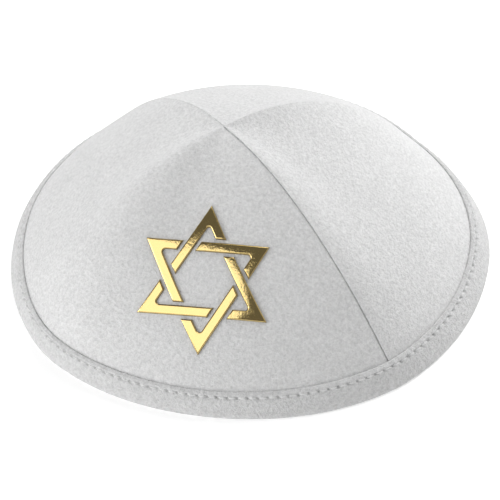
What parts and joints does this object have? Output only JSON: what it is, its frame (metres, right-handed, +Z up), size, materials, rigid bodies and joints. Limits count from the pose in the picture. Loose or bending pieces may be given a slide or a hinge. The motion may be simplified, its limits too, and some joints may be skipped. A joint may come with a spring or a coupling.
{
  "type": "kippah skullcap",
  "caption": "Round suede skullcap sewn from panels that meet at the crown, with a folded rim band and a raised interlaced six-pointed star on the front.",
  "frame": {"origin": "middle of the cap's outline on the flat that its rim rests on", "axes": "+Z up from the rim to the crown, -Y towards the front panel with the star, +X towards the right panel"},
  "size_m": [0.164, 0.1634, 0.0585],
  "materials": {
    "suede_front": "matte white suede with a fine nap",
    "suede": "matte white suede with a fine nap",
    "suede_band": "matte white suede with a fine nap, stitched along its upper edge",
    "gold": "polished gold-coloured metal"
  },
  "bodies": {
    "root": {"panel_front": "suede_front", "panel_right": "suede", "panel_back": "suede", "panel_left": "suede", "rim_band": "suede_band", "star_piece_top": "gold", "star_piece_upper_left": "gold", "star_piece_lower_left": "gold", "star_piece_bottom": "gold", "star_piece_lower_right": "gold", "star_piece_upper_right": "gold"}
  },
  "joints": []
}
